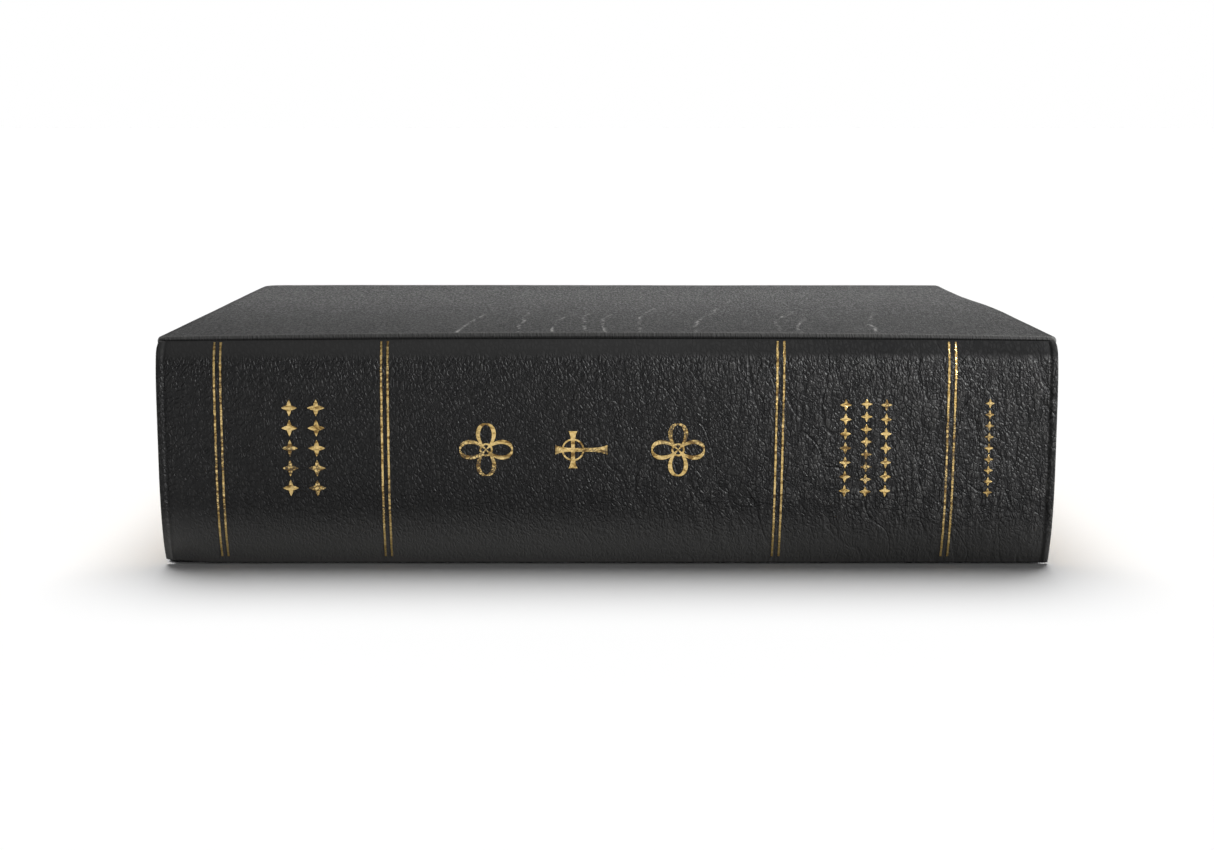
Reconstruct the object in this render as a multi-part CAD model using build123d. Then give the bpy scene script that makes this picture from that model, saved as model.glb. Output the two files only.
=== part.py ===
from build123d import *
import math
import os

# A thick leather-bound bible, closed and lying on its back cover.
# X runs along the spine (head of the book at -X, tail at +X), the spine faces -Y,
# the fore-edge faces +Y and +Z is up. The origin is the middle of the bounding box, on the table.
# All sizes are in millimetres.

# driving dimensions
LENGTH = 242.0
COVER_DEPTH = 170.0
THICKNESS = 62.5
SPINE_BULGE = 2.9
SPINE_TUCK = 1.1
SQUARE = 3.5
FOIL = 0.08

# cover make-up, from the outside in
LEATHER = 0.8
BOARD = 1.4
TURN_IN = 0.4
TURN_IN_WIDTH = 14.0
PASTEDOWN = 0.25
CORNER_RADIUS = 8.0
SPINE_CORNER_RADIUS = 1.5
JOINT = 2.5
BACK_INSET = 4.0

# spine make-up: each layer's depth behind the leather's outer face
SPINE_LEATHER = 0.9
INLAY = 0.5
LINING_DEPTH = 2.2
LINING = 0.4
SUPER = 0.4
THREAD = 0.3
RUNNING_GAP = 0.3
SPINE_END = 3.2
UPPER_POWER = 5.0
LOWER_POWER = 2.7

# text block
SECTIONS_PER_HALF = 8
FLYLEAF = 0.25
MIDDLE_GAP = 0.6
PAGE_CORNER_RADIUS = 7.0
FOLD_RADIUS = 0.6

# ribbon marker
RIBBON_WIDTH = 6.0
RIBBON_THICKNESS = 0.2
RIBBON_TAIL = 21.0

# gold tooling on the spine
RULE_WIDTH = 0.5
RULE_CENTRES = (-105.1, -103.4, -60.4, -58.7, 45.5, 47.3, 91.4, 93.2)
FOIL_MARGIN = 0.3
EMBLEM_CENTRES = (-32.5, -6.9, 19.1)
EMBLEM_DROP = 29.9
EMBLEM_SIZE = 13.0
ROW_CENTRES = (-85.2, -78.0, 64.0, 69.6, 74.9, 102.6)
ROW_LOZENGES = (5, 5, 7, 8, 7, 6)
ROW_WIDTHS = (4.2, 4.4, 3.0, 3.0, 2.8, 2.6)
ROW_SPAN = 27.3
ROW_DROP = 29.4

# places worked out from the dimensions above
DEPTH = COVER_DEPTH + SPINE_BULGE + FOIL
FORE_EDGE = DEPTH / 2
COVER_EDGE = FORE_EDGE - COVER_DEPTH
MIDDLE = THICKNESS / 2
COVER = LEATHER + BOARD + TURN_IN + PASTEDOWN
SUPER_DEPTH = LINING_DEPTH + LINING
THREAD_DEPTH = SUPER_DEPTH + SUPER
BLOCK_DEPTH = THREAD_DEPTH + THREAD + RUNNING_GAP
PAGE_LENGTH = LENGTH - 2 * SQUARE
EMBLEM_HEIGHT = THICKNESS - EMBLEM_DROP
ROW_MIDDLE = THICKNESS - ROW_DROP


def export(shape, node):
    shape.label = node
    export_step(shape, f"parts/{node}.step")


def spine_y(z, depth=0.0):
    """Y of the rounded spine at height z, a given depth behind the leather's outer face.
    Its top end is level with the front cover's edge, and its foot is tucked in under the book."""
    reach = abs(z - MIDDLE) / (MIDDLE - SPINE_END)
    if z > MIDDLE:
        inward = SPINE_BULGE * reach ** UPPER_POWER
    else:
        inward = (SPINE_BULGE + SPINE_TUCK) * reach ** LOWER_POWER
    return COVER_EDGE - SPINE_BULGE + inward + depth


def spine_layer(outer, inner, margin, x_low, x_high):
    """A layer that follows the rounded spine, between two depths, ending margin from the spine's ends."""
    low = SPINE_END + margin
    high = THICKNESS - SPINE_END - margin
    steps = 24
    heights = [low + (high - low) * i / steps for i in range(steps + 1)]
    outside = Spline([(0, spine_y(z, outer), z) for z in heights])
    inside = Spline([(0, spine_y(z, inner), z) for z in heights])
    foot = Line(outside @ 0, inside @ 0)
    top = Line(outside @ 1, inside @ 1)
    face = make_face([outside, inside, foot, top])
    return Pos(x_low, 0, 0) * extrude(face, amount=x_high - x_low, dir=(1, 0, 0))


def plate(x_half, y_low, y_high, z_low, z_high, fore_radius, spine_radius):
    """A flat plate with rounded corners at the fore-edge and at the spine."""
    block = Box(2 * x_half, y_high - y_low, z_high - z_low)
    body = Pos(0, (y_low + y_high) / 2, (z_low + z_high) / 2) * block
    uprights = body.edges().filter_by(Axis.Z).sort_by(Axis.Y)
    body = fillet(uprights[2:], fore_radius)
    if spine_radius:
        uprights = body.edges().filter_by(Axis.Z).group_by(Axis.Y)[0]
        body = fillet(uprights, spine_radius)
    return body


def face_down(shape):
    """The same piece turned over, for the cover under the book."""
    return mirror(shape, about=Plane.XY.offset(MIDDLE))


# the covers, each built as the top one: inset is how far its edge stands in from the spine

def board(inset):
    high = THICKNESS - LEATHER
    low = high - BOARD
    x_half = LENGTH / 2 - LEATHER
    y_low = COVER_EDGE + inset + JOINT
    y_high = FORE_EDGE - LEATHER
    sheet = plate(x_half, y_low, y_high, low, high, CORNER_RADIUS - LEATHER, 0)
    return sheet + board_centre(inset, low)


def board_centre(inset, low):
    """The panel inside the turn-ins, which brings the board level with them."""
    x_half = LENGTH / 2 - TURN_IN_WIDTH
    y_low = COVER_EDGE + inset + TURN_IN_WIDTH
    y_high = FORE_EDGE - TURN_IN_WIDTH
    return plate(x_half, y_low, y_high, low - TURN_IN, low, SPINE_CORNER_RADIUS, 0)


def cover_leather(inset):
    low = THICKNESS - LEATHER - BOARD - TURN_IN
    y_low = COVER_EDGE + inset
    skin = plate(LENGTH / 2, y_low, FORE_EDGE, low, THICKNESS, CORNER_RADIUS, SPINE_CORNER_RADIUS)
    rims = skin.faces().sort_by(Axis.Z)[-1].edges()
    skin = fillet(rims, LEATHER * 0.8)
    return skin - board(inset)


def pastedown(inset):
    high = THICKNESS - LEATHER - BOARD - TURN_IN
    x_half = LENGTH / 2 - SQUARE
    y_high = FORE_EDGE - SQUARE
    y_low = COVER_EDGE + inset + SQUARE
    return plate(x_half, y_low, y_high, high - PASTEDOWN, high, PAGE_CORNER_RADIUS, 0)


# the text block

def section(z_low, z_high):
    """A gathering of folded sheets, set back as far as the rounded spine asks."""
    edge_y = max(spine_y(z_low, BLOCK_DEPTH), spine_y(z_high, BLOCK_DEPTH))
    fore_y = edge_y + PAGE_WIDTH
    leaves = plate(PAGE_LENGTH / 2, edge_y, fore_y, z_low, z_high, PAGE_CORNER_RADIUS, 0)
    folds = leaves.edges().filter_by(Axis.X).group_by(Axis.Y)[0]
    return fillet(folds, FOLD_RADIUS)


def half_block(first, z_low, z_high):
    """The gatherings of one half, numbered from the back cover up."""
    height = (z_high - z_low) / SECTIONS_PER_HALF
    for i in range(SECTIONS_PER_HALF):
        low = z_low + i * height
        export(section(low, low + height), f"gathering_{first + i:02d}")


def flyleaf(z_low, spine_height):
    """The outermost leaf, level with the gathering that starts at spine_height."""
    y_low = spine_y(spine_height, BLOCK_DEPTH)
    y_high = y_low + PAGE_WIDTH
    return plate(PAGE_LENGTH / 2, y_low, y_high, z_low, z_low + FLYLEAF, PAGE_CORNER_RADIUS, 0)


def ribbon_marker():
    """The marker lies on the lower half of the pages and hangs down inside the fore-edge."""
    z_low = MIDDLE - MIDDLE_GAP / 2
    y_low = spine_y(MIDDLE, BLOCK_DEPTH) + RIBBON_WIDTH
    y_fore = spine_y(MIDDLE, BLOCK_DEPTH) + PAGE_WIDTH
    y_hang = FORE_EDGE - SQUARE + 0.5
    x_exit = PAGE_LENGTH / 2 - 30
    x_head = -PAGE_LENGTH / 2 + 8
    thick = RIBBON_THICKNESS
    start = Vector(x_head, y_low, z_low)
    finish = Vector(x_exit, y_fore - 4, z_low)
    run = finish - start
    turn = math.degrees(math.atan2(run.Y, run.X))
    middle = (start + finish) * 0.5
    lying = Rot(0, 0, turn) * Box(run.length, RIBBON_WIDTH, thick)
    lying = Pos(middle.X, middle.Y, z_low + thick / 2) * lying
    lip_depth = y_hang - y_fore + 8
    lip = Pos(x_exit, y_hang - lip_depth / 2, z_low + thick / 2) * Box(RIBBON_WIDTH, lip_depth, thick)
    tail = Box(RIBBON_WIDTH, thick, RIBBON_TAIL)
    tail = Pos(x_exit, y_hang - thick / 2, z_low + thick - RIBBON_TAIL / 2) * tail
    return lying + lip + tail


# the spine

def band(x_low):
    """A worked band at one end of the text block, standing just clear of the leaves."""
    return spine_layer(SUPER_DEPTH, SUPER_DEPTH + 2.2, 1.5, x_low, x_low + 1.6)


def sewing_thread():
    """Runs of thread across the backs of the gatherings at the sewing stations."""
    stations = [-100, -60, -20, 20, 60, 100]
    runs = [spine_layer(THREAD_DEPTH, THREAD_DEPTH + THREAD, 2.0, x - 0.4, x + 0.4) for x in stations]
    return Compound(children=runs)


def gold_rules():
    half = RULE_WIDTH / 2
    rules = [spine_layer(-FOIL, 0, FOIL_MARGIN, x - half, x + half) for x in RULE_CENTRES]
    return Compound(children=rules)


def stamp(outline):
    """Cuts a flat outline, drawn in X and Z, out of the foil that follows the spine."""
    block = extrude(outline, amount=30, dir=(0, 1, 0), both=True)
    foil = spine_layer(-FOIL, 0, FOIL_MARGIN, -LENGTH / 2, LENGTH / 2)
    return Pos(0, COVER_EDGE, 0) * block & foil


def lozenge(x, z, width, height):
    corners = [(x - width / 2, 0, z), (x, 0, z + height / 2), (x + width / 2, 0, z), (x, 0, z - height / 2)]
    return make_face(Polyline(corners, close=True))


def emblem(x):
    """A plain four-armed rosette: a lozenge with a smaller one at each corner."""
    reach = EMBLEM_SIZE / 2
    away = reach * 0.75
    small = reach / 2.2
    shapes = [lozenge(x, EMBLEM_HEIGHT, reach, reach)]
    for dx, dz in ((1, 0), (-1, 0), (0, 1), (0, -1)):
        shapes.append(lozenge(x + dx * away, EMBLEM_HEIGHT + dz * away, small, small))
    return shapes


def lozenge_row(x, count, width):
    pitch = ROW_SPAN / count
    low = ROW_MIDDLE - ROW_SPAN / 2 + pitch / 2
    return [lozenge(x, low + i * pitch, width, pitch * 0.8) for i in range(count)]


def gold_ornaments():
    outlines = []
    for x in EMBLEM_CENTRES:
        outlines += emblem(x)
    for x, count, width in zip(ROW_CENTRES, ROW_LOZENGES, ROW_WIDTHS):
        outlines += lozenge_row(x, count, width)
    solids = []
    for outline in outlines:
        solids += stamp(outline).solids()
    return Compound(children=solids)


# the leaves reach as near to the fore-edge as the spine's foot lets them
PAGE_WIDTH = FORE_EDGE - SQUARE - spine_y(SPINE_END, BLOCK_DEPTH)

os.makedirs("parts", exist_ok=True)

export(board(0), "front_board")
export(cover_leather(0), "front_cover_leather")
export(pastedown(0), "front_pastedown")
export(face_down(board(BACK_INSET)), "back_board")
export(face_down(cover_leather(BACK_INSET)), "back_cover_leather")
export(face_down(pastedown(BACK_INSET)), "back_pastedown")

export(flyleaf(COVER, SPINE_END), "back_flyleaf")
half_block(1, COVER + FLYLEAF, MIDDLE - MIDDLE_GAP / 2)
front_top = THICKNESS - COVER - RUNNING_GAP - FLYLEAF
half_block(1 + SECTIONS_PER_HALF, MIDDLE + MIDDLE_GAP / 2, front_top)
export(flyleaf(front_top, THICKNESS - SPINE_END), "front_flyleaf")
export(ribbon_marker(), "ribbon_marker")

export(spine_layer(0, SPINE_LEATHER, 0, -LENGTH / 2, LENGTH / 2), "spine_leather")
inlay_half = LENGTH / 2 - 4
export(spine_layer(SPINE_LEATHER, SPINE_LEATHER + INLAY, 1.0, -inlay_half, inlay_half), "spine_inlay")
lining_half = PAGE_LENGTH / 2 - 1
export(spine_layer(LINING_DEPTH, SUPER_DEPTH, 2.0, -lining_half, lining_half), "spine_lining")
super_half = PAGE_LENGTH / 2 - 12
export(spine_layer(SUPER_DEPTH, THREAD_DEPTH, 1.5, -super_half, super_half), "super_cloth")
export(sewing_thread(), "sewing_thread")
export(band(PAGE_LENGTH / 2 + RUNNING_GAP), "tail_band")
export(mirror(band(PAGE_LENGTH / 2 + RUNNING_GAP), about=Plane.YZ), "head_band")
export(gold_rules(), "gold_rules")
export(gold_ornaments(), "gold_ornaments")
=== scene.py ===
import math

import bmesh
import bpy
import numpy as np
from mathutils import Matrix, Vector, noise


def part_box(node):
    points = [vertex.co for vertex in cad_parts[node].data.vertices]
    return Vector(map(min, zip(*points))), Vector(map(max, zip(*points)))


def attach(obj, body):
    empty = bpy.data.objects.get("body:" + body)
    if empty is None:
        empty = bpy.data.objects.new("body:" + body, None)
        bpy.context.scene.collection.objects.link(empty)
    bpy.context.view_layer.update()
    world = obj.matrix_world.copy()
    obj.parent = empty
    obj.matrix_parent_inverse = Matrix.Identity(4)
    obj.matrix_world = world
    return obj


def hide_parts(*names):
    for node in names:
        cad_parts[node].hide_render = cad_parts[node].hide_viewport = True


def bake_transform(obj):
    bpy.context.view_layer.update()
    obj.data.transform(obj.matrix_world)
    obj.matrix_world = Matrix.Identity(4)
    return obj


# The looks of a closed, leather-bound bible, in metres and in the frame of the CAD model:
# X along the spine with the head of the book at -X, the spine facing -Y, the front cover up.

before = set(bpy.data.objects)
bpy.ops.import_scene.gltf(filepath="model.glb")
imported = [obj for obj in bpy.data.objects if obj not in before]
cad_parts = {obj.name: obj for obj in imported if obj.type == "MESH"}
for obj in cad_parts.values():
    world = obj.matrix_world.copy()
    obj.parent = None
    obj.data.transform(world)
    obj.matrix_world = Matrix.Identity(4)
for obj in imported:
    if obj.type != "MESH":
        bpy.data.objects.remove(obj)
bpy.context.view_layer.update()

MM = 0.001
LOW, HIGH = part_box("front_cover_leather")
BACK_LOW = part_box("back_cover_leather")[0]
X_END = HIGH.x
COVER_EDGE = LOW.y
FORE_EDGE = HIGH.y
TOP = HIGH.z
MIDDLE = TOP / 2
BULGE = COVER_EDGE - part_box("spine_leather")[0].y
CORNER = 6 * MM
BOARD_CORNER = 7.2 * MM
PAGE_CORNER = 7 * MM


# meshes

def add(thing):
    bpy.context.scene.collection.objects.link(thing)


def new_object(name, vertices, faces, grain=None, materials=(), face_material=None):
    """A mesh object whose grain attribute keeps each point's place on the flat material."""
    mesh = bpy.data.meshes.new(name)
    mesh.from_pydata(np.asarray(vertices).tolist(), [], faces)
    mesh.update()
    if grain is not None:
        attribute = mesh.attributes.new("grain", "FLOAT_VECTOR", "POINT")
        attribute.data.foreach_set("vector", np.asarray(grain, np.float32).ravel())
    if face_material is not None:
        mesh.polygons.foreach_set("material_index", face_material)
    mesh.polygons.foreach_set("use_smooth", [True] * len(mesh.polygons))
    piece = bpy.data.objects.new(name, mesh)
    add(piece)
    for material in materials:
        mesh.materials.append(material)
    return piece


def border_of(rows, columns):
    """Indices of a grid's outer points, once round, with the side that each belongs to."""
    loop = [(0, j, "start") for j in range(columns - 1)]
    loop += [(i, columns - 1, "right") for i in range(rows - 1)]
    loop += [(rows - 1, j, "finish") for j in range(columns - 1, 0, -1)]
    loop += [(i, 0, "left") for i in range(rows - 1, 0, -1)]
    return loop


def outward_of(edge, grid):
    """Unit directions that point out of a grid along its border."""
    up = np.cross(grid[0, -1] - grid[0, 0], grid[-1, 0] - grid[0, 0])
    along = np.roll(edge, -1, axis=0) - np.roll(edge, 1, axis=0)
    out = np.cross(along, up)
    return out / np.maximum(np.linalg.norm(out, axis=1), 1e-12)[:, None]


def slab(name, front, back, grain, materials, rounding=0.0, steps=2, kinds=(0, 0, 0), lip=None):
    """A closed piece between two grids of points, front and back, with a rounded edge between them.
    rounding is how far the edge stands out, or one such distance for each side of the grid,
    and steps is the number of strips round the edge. kinds numbers the materials of front, back
    and edge. lip names a side that stands out only in the half of its thickness next to the front."""
    rows, columns = front.shape[:2]
    count = rows * columns
    loop = border_of(rows, columns)
    size = len(loop)
    border = np.array([i * columns + j for i, j, _ in loop])
    if not isinstance(rounding, dict):
        rounding = {side: rounding for _, _, side in loop}
    reach = np.array([rounding[side] for _, _, side in loop])[:, None]
    lipped = np.array([side == lip for _, _, side in loop])[:, None]
    front_edge = front.reshape(-1, 3)[border]
    back_edge = back.reshape(-1, 3)[border]
    grain_edge = grain.reshape(-1, 3)[border]
    outward = outward_of(front_edge, front)
    vertices = [front.reshape(-1, 3), back.reshape(-1, 3)]
    grains = [grain.reshape(-1, 3), grain.reshape(-1, 3)]
    rings = [border]
    for k in range(1, steps):
        turn = math.pi * k / steps
        share = (1 - math.cos(turn)) / 2
        stand = np.where(lipped, math.sin(math.pi * min(1.0, share * 2)), math.sin(turn)) * reach
        vertices.append(front_edge * (1 - share) + back_edge * share + outward * stand)
        grains.append(grain_edge + outward * reach * turn / 2)
        rings.append(2 * count + (k - 1) * size + np.arange(size))
    rings.append(count + border)
    corner = (np.arange(rows - 1)[:, None] * columns + np.arange(columns - 1)).ravel()
    front_faces = np.stack([corner, corner + 1, corner + columns + 1, corner + columns], -1)
    faces = [front_faces, count + front_faces[:, ::-1]]
    face_kinds = [np.full(len(corner), kinds[0]), np.full(len(corner), kinds[1])]
    for upper, lower in zip(rings, rings[1:]):
        faces.append(np.stack([np.roll(upper, -1), upper, lower, np.roll(lower, -1)], -1))
        face_kinds.append(np.full(size, kinds[2]))
    piece = new_object(name, np.concatenate(vertices), np.concatenate(faces).tolist(),
                       np.concatenate(grains), materials, np.concatenate(face_kinds))
    return face_out(piece)


def face_out(piece):
    """Merges doubled points and turns the faces of a closed piece outwards."""
    work = bmesh.new()
    work.from_mesh(piece.data)
    bmesh.ops.remove_doubles(work, verts=work.verts, dist=1e-7)
    bmesh.ops.recalc_face_normals(work, faces=work.faces)
    work.to_mesh(piece.data)
    work.free()
    piece.data.set_sharp_from_angle(angle=math.radians(60))
    return piece


def spread(*stops):
    """Positions from (place, step) stops: each stretch is divided into steps of about that length."""
    places = []
    for (a, step), (b, _) in zip(stops, stops[1:]):
        n = max(1, round(abs(b - a) / step))
        places += [a + (b - a) * k / n for k in range(n)]
    return np.array(places + [stops[-1][0]])


def rounded(x, y, x_half, y_low, y_high, spine_radius, fore_radius):
    """Moves grid points near the corners of a rectangle on to rounded corners."""
    x, y = x.copy(), y.copy()
    for x_sign in (-1, 1):
        for y_sign, y_end, radius in ((-1, y_low, spine_radius), (1, y_high, fore_radius)):
            if radius <= 0:
                continue
            centre_x = x_sign * (x_half - radius)
            centre_y = y_end - y_sign * radius
            a = (x - centre_x) * x_sign / radius
            b = (y - centre_y) * y_sign / radius
            inside = (a > 0) & (b > 0)
            a, b = np.clip(a, 0, 1), np.clip(b, 0, 1)
            x = np.where(inside, centre_x + x_sign * radius * a * np.sqrt(1 - b * b / 2), x)
            y = np.where(inside, centre_y + y_sign * radius * b * np.sqrt(1 - a * a / 2), y)
    return x, y


def smoothstep(low, high, value):
    t = np.clip((value - low) / (high - low), 0, 1)
    return t * t * (3 - 2 * t)


def field(x, y, x_scale, y_scale, seed):
    """Smooth noise, about -1 to 1, over a grid of points. The scales are in waves per metre."""
    flat = [noise.noise(Vector((a * x_scale, b * y_scale, seed))) for a, b in zip(x.ravel(), y.ravel())]
    return np.array(flat).reshape(x.shape)


def ridges(x, y, x_scale, y_scale, seed):
    """Narrow crease lines, 0 to 1, where the noise passes through zero."""
    value = np.abs(field(x, y, x_scale, y_scale, seed))
    return np.clip(1 - value * 5, 0, 1) ** 2


def level(x, y, z):
    """Points over a grid at one height."""
    return np.stack([x, y, np.full_like(x, z)], -1)


def sheet_grid(x, y, x_half, y_low, y_high, radius):
    """X and Y of a sheet's points, whose two corners at the fore-edge are rounded."""
    grid_y, grid_x = np.meshgrid(y, x, indexing="ij")
    return rounded(grid_x, grid_y, x_half, y_low, y_high, 0, radius)


# the rounded spine

LIP = 0.9 * MM
PUFF = 0.4 * MM
SPINE_LOW = 0.4 * MM
SPINE_TOP = TOP - LIP - 0.05 * MM
SPINE_TUCK = 2.3 * MM
SPINE_THICK = 0.9 * MM
END_BAND = 1.9 * MM


def arch(x):
    """The front cover's edge over the spine rises a little towards the middle of its length."""
    return 1.4 * MM - 1.0 * MM * (x / (0.9 * X_END)) ** 2


def spine_profile(z):
    """Y of the spine leather's outer face, without its creases: flat in the middle, tucked in below."""
    upper = np.clip((z - MIDDLE) / (SPINE_TOP - MIDDLE), 0, 1)
    lower = np.clip((MIDDLE - z) / (MIDDLE - SPINE_LOW), 0, 1)
    return COVER_EDGE - BULGE + (BULGE + 0.1 * MM) * upper ** 6 + (BULGE + SPINE_TUCK) * lower ** 2.7


def spine_relief(x, z):
    """How far the leather stands out: turned-in bands at the ends, creases and slow unevenness."""
    from_end = X_END - np.abs(x)
    band = 0.3 * MM * smoothstep(END_BAND + 0.35 * MM, END_BAND - 0.25 * MM, from_end)
    groove = 0.18 * MM * np.exp(-(((from_end - END_BAND - 0.5 * MM) / (0.35 * MM)) ** 2))
    wave = 0.22 * MM * field(x, z, 20, 30, 3.1)
    plain = smoothstep(2 * MM, 14 * MM, z) * smoothstep(2 * MM, 6 * MM, SPINE_TOP - z)
    plain *= smoothstep(0.5 * MM, 2 * MM, from_end - END_BAND)
    bend = x + 2.2 * MM * field(x, z, 70, 70, 7.7)
    where = 0.25 + 0.75 * smoothstep(-0.02, 0.03, x + 0.02 * field(x, z, 30, 60, 2.2))
    upright = ridges(bend, z, 260, 48, 11.3) + 0.7 * ridges(bend, z, 420, 80, 21.9)
    slanting = ridges(bend + z * 0.9, z - x * 0.6, 90, 240, 5.9) * smoothstep(-0.02, -0.06, x)
    return band - groove + wave - (0.13 * MM * upright * where + 0.05 * MM * slanting) * plain


def spine_y(x, z):
    return spine_profile(z) - spine_relief(x, z)


def spine_lift(x, z):
    """The spine leather's edges rise a little: its top edge with the cover, its foot at the head."""
    foot = 0.9 * MM * smoothstep(-X_END + 14 * MM, -X_END, x) * smoothstep(6 * MM, 0.5 * MM, z)
    return foot + 0.45 * arch(x) * smoothstep(SPINE_TOP - 12 * MM, SPINE_TOP, z)


def spine_skin(material):
    """The spine leather, from the crease under the front cover down to the table."""
    rim = SPINE_THICK * 0.8
    x = spread((-X_END + rim, 0.32 * MM), (-X_END + 5 * MM, 0.62 * MM), (X_END - 5 * MM, 0.32 * MM),
               (X_END - rim, 0.5 * MM))
    z = spread((SPINE_LOW + 0.4 * MM, 0.62 * MM), (SPINE_TOP - 6 * MM, 0.45 * MM),
               (SPINE_TOP - 0.4 * MM, 0.7 * MM))
    grid_z, grid_x = np.meshgrid(z, x, indexing="ij")
    y = spine_y(grid_x, grid_z)
    near_end = np.sign(grid_x) * smoothstep(X_END - 9 * MM, X_END, np.abs(grid_x))
    near_top = np.clip((grid_z - SPINE_TOP + 4 * MM) / (4 * MM), 0, 1)
    x_seen = grid_x - near_end * 0.6 * MM * near_top ** 3
    lift = spine_lift(grid_x, grid_z)
    front = np.stack([x_seen, y, grid_z + lift], -1)
    back = np.stack([x_seen, spine_profile(grid_z) + SPINE_THICK, grid_z + lift], -1)
    grain = level(grid_x, grid_z, 0.0)
    return slab("spine_skin", front, back, grain, [material], rim * 0.6, 5)


# the covers

COVER_THICK = 2.6 * MM
COVER_RIM = 1.1 * MM


def cover_relief(x, y):
    """Unevenness of the cover's outer face: soft waves, and a lower level near the edges."""
    waves = 0.14 * MM * field(x, y, 16, 16, 1.7) + 0.05 * MM * field(x, y, 60, 45, 8.8)
    edge = np.minimum(X_END - np.abs(x), FORE_EDGE - y)
    return waves - 0.12 * MM * smoothstep(6 * MM, 1 * MM, edge)


def corner_droop(x, y):
    """How far the limp leather sinks along the tail edge, most at the corner of the fore-edge."""
    at_tail = smoothstep(X_END - 5 * MM, X_END - 0.5 * MM, x)
    return 2.0 * MM * at_tail * smoothstep(FORE_EDGE - 105 * MM, FORE_EDGE, y)


def cover_heights(x, y, upside_down):
    """Z of a cover's outer and inner faces."""
    if upside_down:
        return -0.5 * cover_relief(x, y), np.full_like(x, COVER_THICK)
    near_spine = smoothstep(COVER_EDGE + 70 * MM, COVER_EDGE, y)
    outer = TOP + PUFF + cover_relief(x, y) * (1 - 0.7 * near_spine)
    outer = outer + (arch(x) - PUFF) * near_spine - corner_droop(x, y)
    return outer, TOP - COVER_THICK + 0.2 * arch(x) * near_spine


def cover_skin(name, material, upside_down):
    """A board wrapped in leather: rounded edges, a soft waviness and a flat inner face."""
    spine_side = (BACK_LOW.y if upside_down else COVER_EDGE) + COVER_RIM
    x = spread((-X_END + COVER_RIM, 0.8 * MM), (-X_END + CORNER, 1.15 * MM), (X_END - CORNER, 0.8 * MM),
               (X_END - COVER_RIM, 1.0 * MM))
    y = spread((spine_side, 0.8 * MM), (spine_side + 8 * MM, 1.15 * MM), (FORE_EDGE - CORNER, 0.8 * MM),
               (FORE_EDGE - COVER_RIM, 1.0 * MM))
    grid_y, grid_x = np.meshgrid(y, x, indexing="ij")
    flat_x, flat_y = rounded(grid_x, grid_y, X_END - COVER_RIM, spine_side, FORE_EDGE - COVER_RIM,
                             1.8 * MM, CORNER - COVER_RIM)
    outer, inner = cover_heights(flat_x, flat_y, upside_down)
    front = np.stack([flat_x, flat_y, outer], -1)
    back = np.stack([flat_x, flat_y, inner], -1)
    grain = level(flat_x, flat_y, 0.3 if upside_down else 0.0)
    return slab(name, front, back, grain, [material], COVER_RIM, 12, lip=None if upside_down else "start")


def board_sheet(node, body, material, upside_down):
    """The board inside a cover, which follows the leather's unevenness."""
    low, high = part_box(node)
    x = spread((low.x, 1 * MM), (low.x + 8 * MM, 4 * MM), (high.x - 8 * MM, 1 * MM), (high.x, 1 * MM))
    y = spread((low.y, 4 * MM), (high.y - 8 * MM, 1 * MM), (high.y, 1 * MM))
    flat_x, flat_y = sheet_grid(x, y, high.x, low.y, high.y, BOARD_CORNER)
    outer, inner = cover_heights(flat_x, flat_y, upside_down)
    inward = 1 if upside_down else -1
    thick = np.maximum(0.2 * MM, np.abs(outer - inner) - 1.1 * MM)
    back = np.stack([flat_x, flat_y, inner - inward * 0.3 * MM], -1)
    front = np.stack([flat_x, flat_y, inner - inward * (0.3 * MM + thick)], -1)
    piece = slab(f"{node}_sheet", front, back, front, [material])
    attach(piece, body)
    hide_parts(node)


def carried_over(node, material):
    """Gives a CAD node that stays as it is its own material."""
    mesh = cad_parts[node].data
    mesh.materials.clear()
    mesh.materials.append(material)


def merge(name, pieces):
    """Joins pieces into one object."""
    for other in bpy.context.selected_objects:
        other.select_set(False)
    for piece in pieces:
        piece.select_set(True)
    bpy.context.view_layer.objects.active = pieces[0]
    bpy.ops.object.join()
    pieces[0].name = name
    pieces[0].data.name = name
    return pieces[0]


def strip(name, path, x_half, thick, material):
    """A thin band along X whose cross-section follows a path of (y, z) points."""
    path = np.array(path)
    x = spread((-x_half, 4 * MM), (x_half, 4 * MM))
    along = np.gradient(path, axis=0)
    across = np.stack([-along[:, 1], along[:, 0]], -1)
    across /= np.linalg.norm(across, axis=1)[:, None]
    grids = []
    for side in (0.5, -0.5):
        line = path + across * thick * side
        y, grid_x = np.meshgrid(line[:, 0], x, indexing="ij")
        z, _ = np.meshgrid(line[:, 1], x, indexing="ij")
        grids.append(np.stack([grid_x, y, z], -1))
    length = np.concatenate([[0], np.cumsum(np.linalg.norm(np.diff(path, axis=0), axis=1))])
    grain_y, grain_x = np.meshgrid(length, x, indexing="ij")
    grain = level(grain_x, grain_y, 0.0)
    return slab(name, grids[0], grids[1], grain, [material])


# the leather joints, which lie in the creases when the book is shut

JOINT_INSET = 2.5 * MM
JOINT_STEPS = 12


def front_joint(material):
    """Leather between the spine's top edge and the cover, deep in the crease."""
    y = COVER_EDGE + 1.25 * MM
    low = SPINE_TOP - 1.2 * MM
    path = [(y, low + 1.6 * MM * k / JOINT_STEPS) for k in range(JOINT_STEPS + 1)]
    piece = strip("front_joint_leather", path, X_END - JOINT_INSET, 0.3 * MM, material)
    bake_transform(piece)


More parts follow.
